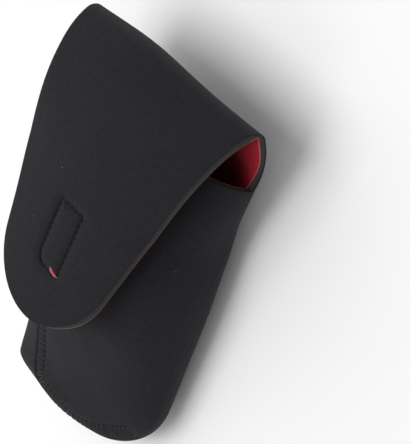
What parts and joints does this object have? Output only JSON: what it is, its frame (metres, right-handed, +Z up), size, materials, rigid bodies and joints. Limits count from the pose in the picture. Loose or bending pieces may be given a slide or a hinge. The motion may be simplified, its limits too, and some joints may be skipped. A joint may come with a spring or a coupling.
{
  "type": "lens pouch",
  "caption": "Soft padded pouch lying on its back: foam sheet with black knit outside and red lining, fold-over flap held by hook and loop.",
  "frame": {"origin": "on the ground under the middle of the closed pouch's bounding box", "axes": "+Z up from the flat back to the front with the flap, +Y from the bottom seam to the fold of the flap, +X across the pouch to the side without a seam"},
  "size_m": [0.0888, 0.1532, 0.0547],
  "materials": {
    "black_knit": "matt knitted face fabric",
    "neoprene_foam": "closed-cell foam, cut edge",
    "red_lining": "smooth brushed knit",
    "hook_tape": "stiff nylon hooks",
    "loop_tape": "fuzzy nylon loops",
    "black_thread": "twisted polyester",
    "red_thread": "twisted polyester, slight sheen"
  },
  "bodies": {
    "pouch_body": {"body_outer_knit": "black_knit", "body_foam_core": "neoprene_foam", "body_red_lining": "red_lining", "loop_strip": "loop_tape", "loop_stitches": "black_thread", "seam_thread_outside": "black_thread", "seam_thread_inside": "black_thread"},
    "fold_strip": {"fold_outer_knit": "black_knit", "fold_foam_core": "neoprene_foam", "fold_red_lining": "red_lining"},
    "flap": {"flap_outer_knit": "black_knit", "flap_foam_core": "neoprene_foam", "flap_red_lining": "red_lining", "hook_strip": "hook_tape", "hook_stitches": "black_thread", "red_stitch": "red_thread"}
  },
  "joints": [
    {"name": "flap_fold", "type": "hinge", "parent": "pouch_body", "child": "fold_strip", "pos_m": [-0.00106, 0.07467, 0.031], "axis": [-1, 0, 0], "range_deg": [0, 96]},
    {"name": "flap_turn", "type": "hinge", "parent": "fold_strip", "child": "flap", "pos_m": [-0.00106, 0.06954, 0.04331], "axis": [-1, 0, 0], "range_deg": [0, 96]}
  ],
  "couplings": [
    {"joint": "flap_turn", "follows": "flap_fold", "ratio": 1}
  ]
}
